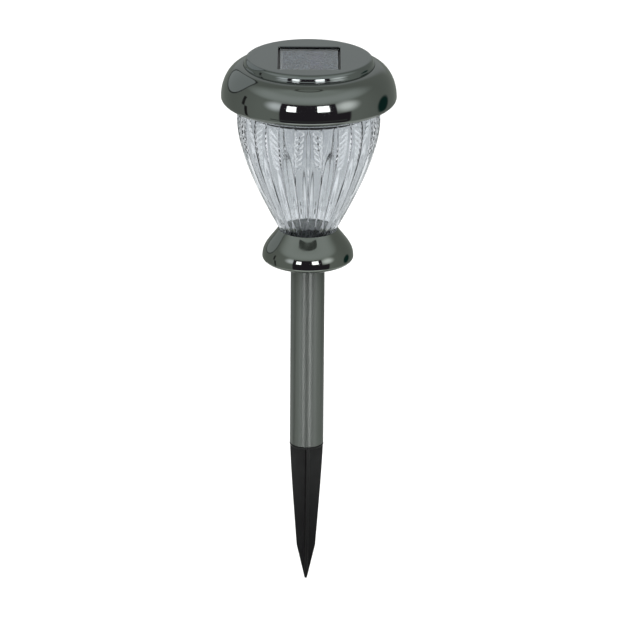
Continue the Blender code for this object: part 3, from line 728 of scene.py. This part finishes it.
def darts(down, share):
    """Narrow V cuts that open downwards, on the middle line and a third of a motif to each side."""
    nearest = np.minimum(share, np.abs(share - 2.0 / 3.0))
    half = 0.28 * smoothstep(0.80, 1.0, down)
    return DART_DEPTH * np.clip(1.0 - nearest / np.maximum(half, 1e-6), 0.0, 1.0)


def scallops(down, share):
    """Small facets round the foot."""
    row = np.abs(((down - 0.90) / 0.034) % 2.0 - 1.0)
    facet = np.abs((share * 4.5 + 0.5 * row) % 1.0 - 0.5)
    return FACET_DEPTH * facet * smoothstep(0.895, 0.925, down)


def lens(finish):
    """Cut shade with a ledge and three notches inside its rim for the cap's lugs."""
    shoulder = LENS_TOP - LENS_SHOULDER_DROP
    foot = shoulder - LENS_HEIGHT_TO_FOOT
    belly, waist = shoulder - 0.02233, shoulder - 0.05159
    outer = bezier([(LENS_RIM_RADIUS, shoulder), (0.05521, belly), (0.04309, waist),
                    (LENS_FOOT_RADIUS, foot)], 150)
    under = bezier([(LENS_FOOT_RADIUS, foot), (0.0184, foot - 0.0040), (0.0165, LENS_BOTTOM)], 10)[1:]
    inner = bezier([(0.0180, foot + 0.0008), (0.0406, waist), (0.0526, belly),
                    (LENS_INSIDE_RADIUS, shoulder)], 60)
    rim = [(LENS_RIM_RADIUS - 0.0003, LENS_TOP), (LENS_RIM_RADIUS, LENS_TOP - 0.0003)]
    outline = rim + outer + under
    cut = slice(len(rim), len(outline))
    floor = LENS_BOTTOM + 0.0030
    outline += [(SCREW_HOLE, LENS_BOTTOM), (SCREW_HOLE, floor), (0.0125, floor)]
    outline += [(0.0150, floor + 0.0010), (0.0166, floor + 0.0050)] + inner
    ledge_low, ledge_high = LENS_TOP - 0.0060, LENS_TOP - 0.0035
    ledge = slice(len(outline) + 1, len(outline) + 3)
    outline += [(LENS_INSIDE_RADIUS, ledge_low - 0.0004), (LENS_LEDGE_RADIUS, ledge_low)]
    outline += [(LENS_LEDGE_RADIUS, ledge_high), (LENS_INSIDE_RADIUS, ledge_high + 0.0004)]
    outline += [(LENS_INSIDE_RADIUS, LENS_TOP)]

    def shape(radius, height, turns):
        down = np.clip((shoulder - height[cut]) / LENS_HEIGHT_TO_FOOT, 0.0, 1.0)
        radius[cut] -= cut_depth(down, height[cut], turns)
        off = np.abs(from_nearest(turns, SCREW_ANGLES[0], len(SCREW_ANGLES)))
        radius[ledge] += NOTCH_DEPTH * (1.0 - smoothstep(math.radians(15.5), math.radians(16.5), off))
        return radius, height

    made = turned("lens_shade", outline, 480, shape)
    smooth(made, 50.0)
    fitted(made, finish, "head", "lens")


# ---- collar, post and stake

def collar(finish, pale_inside):
    """Bell with a rolled foot; its floor carries the lens. The cup above the floor has a pale grey finish,
    painted light that brightens what shows through the lens's foot.
    """
    low, high = COLLAR_BOX
    bottom = (COLLAR_FOOT_RADIUS, low.z + COLLAR_FOOT_HALF)
    reach = (COLLAR_RADIUS - COLLAR_FOOT_RADIUS, COLLAR_FOOT_HALF)
    lip = high.z
    outer = [(0.02155, lip), (0.02435, lip - 0.0032), (0.0277, lip - 0.0089), (COLLAR_RADIUS, lip - 0.0124),
             (COLLAR_RADIUS, bottom[1])]
    inner_radius = COLLAR_RADIUS - SHELL
    inner = [(inner_radius, bottom[1]), (inner_radius, lip - 0.0130)]
    inner += [(0.0269, lip - 0.0096), (0.0237, lip - 0.0045)]
    floor = [lip - drop for drop in COLLAR_FLOOR]
    outline = [(0.0213, lip)] + bezier(outer, 40)
    outline += arc(bottom, reach, 0.0, -90.0, 16)[1:]
    outline += arc(bottom, (reach[0] - SHELL, reach[1] - SHELL), -90.0, 0.0, 8)[:-1]
    inside = bezier(inner, 24)
    outline += [p for p in inside if p[1] < floor[0]]
    outline += [(0.0300, floor[0]), (SCREW_HOLE, floor[0]), (SCREW_HOLE, floor[1]), (0.0285, floor[1])]
    outline += [p for p in inside if p[1] > floor[1] + 0.0004]
    outline += [(0.0208, lip - 0.0013)]
    made = turned("collar_bell", filleted(outline, 0.00025), 192)
    fitted(made, finish, "head", "collar")
    # painted light: the cup above the floor takes the pale finish
    made.data.materials.append(pale_inside)
    for face in made.data.polygons:
        inwards = Vector((face.center.x, face.center.y, 0.0)).dot(face.normal) < 0.0
        in_cup = floor[1] - 0.0001 < face.center.z < lip - 0.0004
        face.material_index = int(in_cup and (inwards or face.normal.z > 0.9))


def post(finish):
    low, high = POST_BOX[0].z, POST_BOX[1].z
    inner = POST_RADIUS - POST_WALL
    outline = filleted([(POST_RADIUS, high), (POST_RADIUS, low), (inner, low), (inner, high)], 0.0003)
    fitted(turned("post_plated_tube", outline, 128), finish, "post", "post_tube")


def cross_section(half, thick):
    """Outline of crossed fins at one height, with rounded edges and filleted inner corners."""
    flat = thick / 2.0
    corner = min(0.00045, 0.3 * (half - flat))
    edge = min(corner, flat * 0.9)
    tip = arc((half - edge, flat - edge), (edge, edge), 0.0, 90.0, 3)
    root = [(flat + corner * 1.6, flat), (flat + corner * 0.5, flat + corner * 0.5)]
    mirrored = [(y, x) for x, y in reversed(tip + root[:1])]
    quarter = tip + root + mirrored
    points = []
    for k in range(4):
        c, s = round(math.cos(math.pi / 2.0 * k)), round(math.sin(math.pi / 2.0 * k))
        points += [(x * c - y * s, x * s + y * c) for x, y in quarter]
    return points


def stake(finish):
    """Four tapering fins on a flange, with their ribs up inside the post."""
    top, tip = STAKE_BOX[1].z, STAKE_BOX[0].z
    levels = [(RIB_HALF - 0.0015, top), (RIB_HALF - 0.0004, top - 0.0012)]
    levels += [(RIB_HALF, top - 0.0030), (RIB_HALF, 0.0012)]
    levels += bezier([(FIN_TOP_HALF, 0.0008), (FIN_TOP_HALF - 0.0004, -0.0170),
                      (FIN_SHOULDER_HALF, FIN_SHOULDER_Z)], 24)
    levels += bezier([(FIN_SHOULDER_HALF, FIN_SHOULDER_Z), (FIN_TIP_HALF, tip)], 8)[1:]
    turn = Matrix.Rotation(FIN_TURN, 2)
    rings = []
    for half, z in levels:
        section = cross_section(half, min(FIN_THICKNESS, 1.3 * half))
        rings.append([(*(turn @ Vector(p)), z) for p in section])
    count = len(rings[0])
    faces = ring_faces(len(rings), count)[:-count].tolist()
    faces.append(list(range(count)))
    faces.append([(len(rings) - 1) * count + i for i in reversed(range(count))])
    made = mesh_object("ground_stake", rings, faces)
    section = [(0.0, 0.0), (STAKE_FLANGE, 0.0), (STAKE_FLANGE, 0.0017), (0.0, 0.0017)]
    flange = turned("stake_flange", filleted(section, 0.0004))
    bm = bmesh.new()
    bm.from_mesh(flange.data)
    bpy.data.objects.remove(flange, do_unlink=True)
    combined(made, bm, "UNION")
    smooth(made, 35.0)
    fitted(made, finish, "stake", "stake")


# ---- module

def cross_screw(name, node, sizes, head_up=False):
    """Pan-head screw with a crossed recess, threaded shank and pointed tip, which fills a node's box."""
    head_radius, head, shank_radius = sizes
    low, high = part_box(node)
    tip = high.z - low.z
    crown = arc((0.0, head * 0.55), (head_radius, head * 0.55), -90.0, 0.0, 10)
    outline = crown + [(head_radius, head), (shank_radius, head)]
    pitch = shank_radius * 0.9
    z = head + pitch
    while z < tip - 2.0 * pitch:
        outline += [(shank_radius * 0.78, z), (shank_radius, z + pitch / 2.0)]
        z += pitch
    outline += [(shank_radius * 0.7, tip - pitch), (0.0, tip)]
    made = turned(name, outline, 32)
    arm, wide = head_radius * 0.55, head_radius * 0.15
    for x, y in ((arm, wide), (wide, arm)):
        recess = bmesh.new()
        block(recess, (-x, -y, -head), (x, y, head * 0.55))
        combined(made, recess, "DIFFERENCE")
    foot = high.z if head_up else low.z
    turn = Matrix.Rotation(math.pi if head_up else 0.0, 4, "X")
    made.data.transform(Matrix.Translation((*middle_of((low, high)), foot)) @ turn)
    return smooth(made, 30.0)


def gasket(finish):
    low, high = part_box("lens_gasket")
    outer = high.x
    half = (0.00235, (high.z - low.z) / 2.0)
    outline = arc((outer - half[0], (low.z + high.z) / 2.0), half, 90.0, -270.0, 24)[:-1]
    fitted(turned("lens_gasket_ring", outline, 160), finish, "seal", "lens_gasket")


def washer(finish):
    low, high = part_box("lens_washer")
    outline = [(high.x, high.z), (high.x, low.z), (SCREW_HOLE, low.z), (SCREW_HOLE, high.z)]
    made = turned("lens_screw_washer", filleted(outline, 0.0002), 64)
    fitted(made, finish, "head", "lens_washer")


def reflector(finish):
    """Bright dish round the lamp."""
    low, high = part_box("led_reflector")
    rim = high.z
    outer = bezier([(0.0080, low.z), (0.0066, low.z + 0.0014), (0.0046, rim - 0.0006), (0.0046, rim)], 12)
    inner = bezier([(0.0034, rim), (0.0040, rim - 0.0016), (0.0060, low.z + 0.0008),
                    (0.0080, low.z + 0.0004)], 12)
    fitted(turned("lamp_reflector", outer + inner), finish, "cap", "led_reflector")


def lamp(finish):
    """Five millimetre epoxy lamp: flange, straight body and dome."""
    low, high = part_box("led")
    outline = [(0.0, high.z), (LED_RADIUS, high.z), (LED_FLANGE, high.z - 0.0004)]
    outline += [(LED_FLANGE, high.z - 0.0014), (LED_RADIUS, high.z - 0.0014)]
    outline += arc((0.0, low.z + LED_RADIUS), (LED_RADIUS, LED_RADIUS), 0.0, -90.0, 14)[:-1] + [(0.0, low.z)]
    fitted(turned("lamp_epoxy", outline, 64), finish, "cap", "led")


def housing(finish):
    """Wall with its seat flange, top flange, lugs and screw posts."""
    low, high = HOUSING_BOX[0].z, HOUSING_BOX[1].z
    inner, wall = HOUSING_WALL
    seat_radius = HOUSING_BOX[1].x
    seat_low, seat_high = low + 0.0145, low + 0.0165
    lug_low, lug_high = low + 0.0014, low + 0.0044
    flange_low = high - 0.0015
    outline = [(wall, z) for z in (low, lug_low - 0.0002, lug_low, lug_high, lug_high + 0.0002)]
    lug = slice(2, 4)
    seat = [(wall, seat_low), (seat_radius, seat_low), (seat_radius, seat_high), (wall, seat_high)]
    flange = [(wall, flange_low), (HOUSING_TOP_FLANGE, flange_low), (HOUSING_TOP_FLANGE, high), (inner, high)]
    outline += filleted(seat, 0.0003) + filleted(flange, 0.0003) + [(inner, low)]

    def shape(radius, height, turns):
        off = np.abs(from_nearest(turns, SCREW_ANGLES[0], len(SCREW_ANGLES)))
        radius[lug] += LUG_REACH * (1.0 - smoothstep(math.radians(7.6), math.radians(8.4), off))
        return radius, height

    made = turned("module_wall", outline, 360, shape)
    posts, holes = bmesh.new(), bmesh.new()
    for turn in SCREW_ANGLES:
        place = (SCREW_CIRCLE * math.cos(turn), SCREW_CIRCLE * math.sin(turn))
        rod(posts, 0.0037, low + 0.0021, high - 0.0040, place)
        rod(holes, 0.0014, low - 0.0010, low + 0.0130, place)
    combined(made, posts, "UNION")
    combined(made, holes, "DIFFERENCE")
    fitted(smooth(made), finish, "cap", "module_housing")


def small_fasteners(steel):
    """Screws in the module cover, the door, the board and the lens floor."""
    for index in range(3):
        node = f"cover_screw_{index + 1}"
        made = cross_screw(f"cover_fastener_{index + 1}", node, COVER_SCREW)
        fitted(made, steel, "cap", node)
    made = cross_screw("door_fastener", "battery_door_screw", DOOR_SCREW)
    fitted(made, steel, "battery_lid", "battery_door_screw")
    for index in range(2):
        node = f"board_screw_{index + 1}"
        made = cross_screw(f"board_fastener_{index + 1}", node, BOARD_SCREW, head_up=True)
        fitted(made, steel, "cap", node)
    made = cross_screw("lens_fastener", "centre_screw", LENS_SCREW, head_up=True)
    fitted(made, steel, "head", "centre_screw")


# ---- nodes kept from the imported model

def kept_nodes(use):
    """CAD nodes whose shape stays, each with its own detailed material."""
    finishes = {
        "black": ("tube_adaptor", "module_cover", "battery_door", "switch_slider", "driver_chip"),
        "board": ("circuit_board",),
        "copper": ("inductor",),
        "steel": ("switch_body", "battery_spring", "battery_contact_plate"),
        "wrap": ("battery",),
        "red": ("panel_wire_red", "battery_wire_red"),
        "dark_wire": ("panel_wire_black", "battery_wire_black"),
    }
    for finish, nodes in finishes.items():
        for node in nodes:
            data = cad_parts[node].data
            data.materials.clear()
            data.materials.append(use[finish])


# ---- studio

def studio_floor():
    """Plain white floor under the stake's tip; the plated parts reflect the tent instead."""
    bm = bmesh.new()
    bmesh.ops.create_circle(bm, cap_ends=True, segments=96, radius=9.0)
    made = bm_object("studio_floor", bm)
    made.location.z = STAKE_BOX[0].z - 0.0015
    paper = Finish("studio_white_paper", Roughness=0.9, Specular_IOR_Level=0.0)
    fibre = paper.noise(30.0, 4.0)
    paper.coloured(fibre, (0.90, 0.90, 0.90), (0.94, 0.94, 0.94))
    made.data.materials.append(paper.material)
    made.visible_glossy = False
    made.visible_transmission = False


class Tent(Graph):
    """Glowing cloth or card, painted in patches by azimuth from the front and elevation, in degrees."""

    def __init__(self):
        super().__init__("tent_panels")
        self.tree.nodes.clear()
        place = self.add("ShaderNodeTexCoord").outputs["Object"]
        normal = self.add("ShaderNodeVectorMath", operation="NORMALIZE")
        parts = self.add("ShaderNodeSeparateXYZ")
        self.link(place, normal.inputs[0])
        self.link(normal.outputs[0], parts.inputs[0])
        forward = self.calc("MULTIPLY", parts.outputs["Y"], -1.0)
        self.azimuth = self.calc("DEGREES", self.calc("ARCTAN2", parts.outputs["X"], forward))
        self.elevation = self.calc("DEGREES", self.calc("ARCSINE", parts.outputs["Z"]))
        self.colour = None

    def calc(self, operation, first, second=None):
        made = self.add("ShaderNodeMath", operation=operation)
        for socket, value in zip(made.inputs, (first, second)):
            if isinstance(value, (int, float)):
                socket.default_value = value
            elif value is not None:
                self.link(value, socket)
        return made.outputs[0]

    def step(self, value, at, soft):
        made = self.add("ShaderNodeMapRange", interpolation_type="SMOOTHSTEP")
        made.inputs["From Min"].default_value = at - soft / 2.0
        made.inputs["From Max"].default_value = at + soft / 2.0
        self.link(value, made.inputs["Value"])
        return made.outputs["Result"]

    def band(self, value, low, high, soft):
        rise = self.step(value, low, soft)
        fall = self.calc("SUBTRACT", 1.0, self.step(value, high, soft))
        return self.product(rise, fall)

    def product(self, one, other):
        return self.calc("MULTIPLY", one, other)

    def paint(self, mask, colour):
        """Lays a colour over what is there, by a mask or all over."""
        made = self.add("ShaderNodeMix", data_type="RGBA")
        if isinstance(mask, float):
            made.inputs["Factor"].default_value = mask
        else:
            self.link(mask, made.inputs["Factor"])
        if self.colour is not None:
            self.link(self.colour, made.inputs[6])
        made.inputs[7].default_value = (*colour, 1.0)
        self.colour = made.outputs[2]

    def box(self, azimuth, elevation, soft, colour):
        across = self.band(self.azimuth, *azimuth, soft)
        along = self.band(self.elevation, *elevation, soft)
        self.paint(self.product(across, along), colour)

    def spot(self, azimuth, elevation, half, soft, colour):
        """An ellipse in azimuth and elevation."""
        x = self.calc("DIVIDE", self.calc("SUBTRACT", self.azimuth, azimuth), half[0])
        y = self.calc("DIVIDE", self.calc("SUBTRACT", self.elevation, elevation), half[1])
        distance = self.calc("SQRT", self.calc("ADD", self.product(x, x), self.product(y, y)))
        self.paint(self.calc("SUBTRACT", 1.0, self.step(distance, 1.0, soft)), colour)

    def finish(self):
        glow = self.add("ShaderNodeEmission")
        out = self.add("ShaderNodeOutputMaterial")
        self.link(self.colour, glow.inputs["Color"])
        self.link(glow.outputs[0], out.inputs["Surface"])
        return self.material


def seen_only_by(made, reflections=False, refractions=False):
    """Hides a studio piece from the camera and all light but mirror rays or rays through clear plastic."""
    made.visible_camera = False
    made.visible_diffuse = False
    made.visible_shadow = False
    made.visible_volume_scatter = False
    made.visible_glossy = reflections
    made.visible_transmission = refractions


def dome(name, radius):
    """A sphere round the light."""
    bm = bmesh.new()
    bmesh.ops.create_uvsphere(bm, u_segments=64, v_segments=32, radius=radius)
    made = bm_object(name, bm)
    made.location.z = TENT_MIDDLE
    return made


def reflecting_tent():
    """What the plated parts reflect: grey-green cloth, and a dark opening with two lamps in front."""
    tent = Tent()
    tent.paint(1.0, CLOTH_GREY)
    front = tent.band(tent.azimuth, -92.0, 92.0, 60.0)
    tent.paint(front, CLOTH_PALE)
    tent.paint(tent.product(front, tent.band(tent.elevation, 31.0, 79.0, 8.0)), (0.48, 0.52, 0.49))
    tent.paint(tent.product(front, tent.band(tent.elevation, 34.0, 54.0, 16.0)), (0.60, 0.64, 0.62))
    behind = tent.step(tent.calc("ABSOLUTE", tent.azimuth), 156.0, 16.0)
    tent.paint(tent.product(behind, tent.band(tent.elevation, 6.0, 60.0, 10.0)), (0.385, 0.405, 0.400))
    tent.paint(tent.step(tent.elevation, 78.0, 3.0), CLOTH_PALE)
    tent.box((-1.0e3, 1.0e3), (79.5, 82.0), 1.2, (0.12, 0.13, 0.115))  # hem of the roof
    tent.spot(-133.0, 24.0, (27.0, 25.0), 0.06, (0.055, 0.060, 0.060))  # rim of the disc on the left
    tent.spot(-133.0, 24.0, (25.0, 23.0), 0.06, (0.43, 0.46, 0.46))
    tent.spot(-44.0, 17.0, (12.0, 9.0), 1.6, (1.30, 1.34, 1.38))  # glow beside the opening
    tent.spot(52.0, 17.0, (14.0, 10.0), 1.6, (1.50, 1.54, 1.52))
    tent.box((-38.0, 37.0), (-60.0, 27.5), 2.0, OPENING_BLACK)
    tent.box((30.0, 56.0), (-60.0, 2.0), 4.0, OPENING_BLACK)
    tent.box((-29.0, -16.5), (8.0, 22.0), 1.0, LAMP_WHITE)
    tent.box((11.5, 27.5), (8.5, 24.0), 1.0, LAMP_WHITE)
    tent.box((-96.0, -91.0), (-2.0, 15.0), 1.5, SEAM_BLACK)
    tent.box((-91.0, -86.0), (-24.0, -2.0), 1.5, SEAM_BLACK)
    tent.spot(112.0, -8.0, (12.0, 11.0), 0.5, (0.012, 0.045, 0.038))  # dark green disc on the right
    made = dome("reflecting_tent", 4.0)
    made.data.materials.append(tent.finish())
    seen_only_by(made, reflections=True)


def lens_backdrop():
    """What shows through the lens: a grey card with white beside it, so that slanted cuts look bright."""
    card = Tent()
    card.paint(1.0, (0.46, 0.48, 0.50))
    sideways = card.calc("ABSOLUTE", card.azimuth)
    card.paint(card.band(sideways, 138.0, 300.0, 20.0), (0.66, 0.68, 0.70))
    streak = card.band(sideways, 160.0, 171.0, 4.0)
    card.paint(card.product(streak, card.band(card.elevation, -44.0, 0.0, 4.0)), CARD_WHITE)
    card.paint(card.band(card.elevation, -31.0, -23.5, 2.0), CARD_WHITE)
    level = card.band(card.elevation, -22.5, -14.5, 2.0)
    card.paint(card.product(card.step(sideways, 172.0, 3.0), level), (0.60, 0.62, 0.645))
    made = dome("lens_backdrop", 4.2)
    made.data.materials.append(card.finish())
    seen_only_by(made, refractions=True)


def tent_floor():
    """Pale ring of cloth round the light, which the post reflects; it has a dark seam on the left."""
    bm = bmesh.new()
    segments = 96
    turns = [2.0 * math.pi * i / segments for i in range(segments)]
    inside, outside = ([bm.verts.new((r * math.cos(t), r * math.sin(t), 0.0)) for t in turns]
                       for r in (0.17, 0.44))
    for i in range(segments):
        ahead = (i + 1) % segments
        bm.faces.new((inside[i], outside[i], outside[ahead], inside[ahead]))
    made = bm_object("reflecting_tent_floor", bm)
    made.location.z = STAKE_BOX[0].z - 0.0010
    cloth = Tent()
    cloth.paint(1.0, (0.62, 0.65, 0.62))
    cloth.paint(cloth.band(cloth.azimuth, -38.0, 42.0, 10.0), (1.05, 1.10, 1.06))
    cloth.box((-107.0, -95.0), (-90.0, 90.0), 2.0, SEAM_BLACK)
    made.data.materials.append(cloth.finish())
    seen_only_by(made, reflections=True)


def collar_flag():
    """Curved black strip above the collar, whose reflection crosses the front of the bell."""
    half_turn, segments = 34.0, 24
    edges = ((0.0915, 0.2660), (0.0965, 0.2625))  # radius and height of the long edges
    bm = bmesh.new()
    rows = []
    for i in range(segments + 1):
        turn = math.radians(half_turn * (2.0 * i / segments - 1.0))
        rows.append([bm.verts.new((r * math.sin(turn), -r * math.cos(turn), z)) for r, z in edges])
    for one, two in zip(rows, rows[1:]):
        bm.faces.new((one[0], one[1], two[1], two[0]))
    made = bm_object("collar_flag", bm)
    card = Tent()
    card.paint(1.0, (0.10, 0.11, 0.10))
    made.data.materials.append(card.finish())
    seen_only_by(made, reflections=True)


def area_light(name, place, size, power, aim=(0.0, 0.0, 0.1)):
    data = bpy.data.lights.new(name, "AREA")
    data.shape = "DISK"
    data.size = size
    data.energy = power
    made = linked(name, data)
    made.location = place
    made.rotation_euler = (Vector(aim) - Vector(place)).to_track_quat("-Z", "Y").to_euler()
    made.visible_glossy = False
    return made


def studio():
    scene = bpy.context.scene
    world = bpy.data.worlds.new("studio_white")
    world.use_nodes = True
    background = world.node_tree.nodes["Background"]
    background.inputs["Color"].default_value = (1.0, 1.0, 1.0, 1.0)
    background.inputs["Strength"].default_value = 1.0
    scene.world = world
    scene.view_settings.view_transform = "Standard"
    studio_floor()
    reflecting_tent()
    tent_floor()
    lens_backdrop()
    collar_flag()
    area_light("softbox_above", (0.0, -0.2, 2.3), 2.4, 26.0)
    area_light("softbox_left", (-1.9, -1.3, 1.3), 1.4, 12.0)
    area_light("softbox_right", (1.9, -1.3, 1.3), 1.4, 12.0)


def camera():
    data = bpy.data.cameras.new("camera")
    data.lens = CAMERA_LENS
    data.sensor_width = 36.0
    data.clip_start = 0.05
    data.clip_end = 60.0
    made = linked("camera", data)
    made.location = Vector(CAMERA_PLACE) + Vector((CAMERA_SIDE, 0.0, 0.0))
    look = Vector(CAMERA_AIM) - Vector(CAMERA_PLACE)
    upright = look.to_track_quat("-Z", "Y").to_matrix().to_4x4()
    made.rotation_euler = (upright @ Matrix.Rotation(CAMERA_ROLL, 4, "Z")).to_euler()
    bpy.context.scene.camera = made


# ---- the light

def build():
    use = make_finishes()
    camera()
    studio()
    cap_ring(use["ring"])
    top_plate(use["plate"])
    panel(use)
    lens(use["lens"])
    collar(use["collar"], use["pale_inside"])
    post(use["post"])
    stake(use["stake"])
    gasket(use["rubber"])
    washer(use["rubber"])
    reflector(use["mirror"])
    lamp(use["led"])
    housing(use["black"])
    small_fasteners(use["steel"])
    kept_nodes(use)


build()
